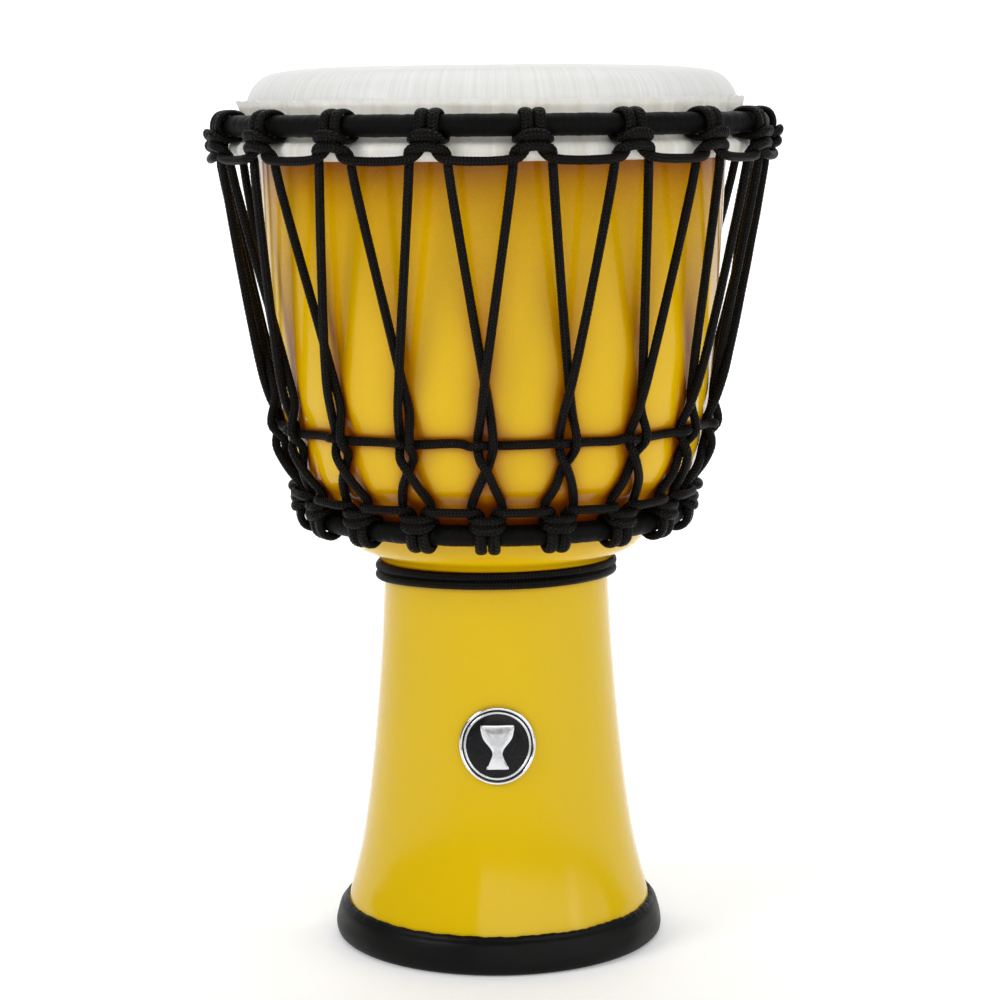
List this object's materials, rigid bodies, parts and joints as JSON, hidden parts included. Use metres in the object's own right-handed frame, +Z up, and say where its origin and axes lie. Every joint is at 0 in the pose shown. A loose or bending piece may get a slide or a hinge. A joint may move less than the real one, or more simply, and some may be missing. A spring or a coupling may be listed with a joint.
{
  "type": "djembe",
  "caption": "Small goblet hand drum: moulded shell, skin head, roped rings laced down the bowl, a woven rope row, rubber foot and a round badge.",
  "frame": {"origin": "centre of the foot's underside, on the floor", "axes": "+Z up the drum's axis, towards the head; -Y towards the badge"},
  "size_m": [0.2084, 0.2072, 0.32],
  "materials": {
    "shell": "polished moulded plastic, golden yellow",
    "foot_rubber": "satin",
    "skin": "semi-gloss coated skin",
    "ring_steel": "plain bar",
    "sleeve_fabric": "close woven sleeve",
    "rope": "braided polyester",
    "badge_metal": "satin",
    "badge_bright": "polished",
    "badge_enamel": "enamel",
    "pad_foam": "matte"
  },
  "bodies": {
    "root": {"shell": "shell", "foot_ring": "foot_rubber", "head_skin": "skin", "flesh_ring": "ring_steel", "crown_ring": "ring_steel", "crown_ring_sleeve": "sleeve_fabric", "lower_ring": "ring_steel", "lower_ring_sleeve": "sleeve_fabric", "crown_cradle_rope": "rope", "lower_cradle_rope": "rope", "lacing_rope": "rope", "lacing_knot": "rope", "weave_rope": "rope", "waist_wrap": "rope", "badge_pad": "pad_foam", "badge_plate": "badge_metal", "badge_rim": "badge_bright", "badge_line": "badge_enamel", "badge_inlay": "badge_enamel", "badge_emblem": "badge_bright"}
  },
  "joints": []
}
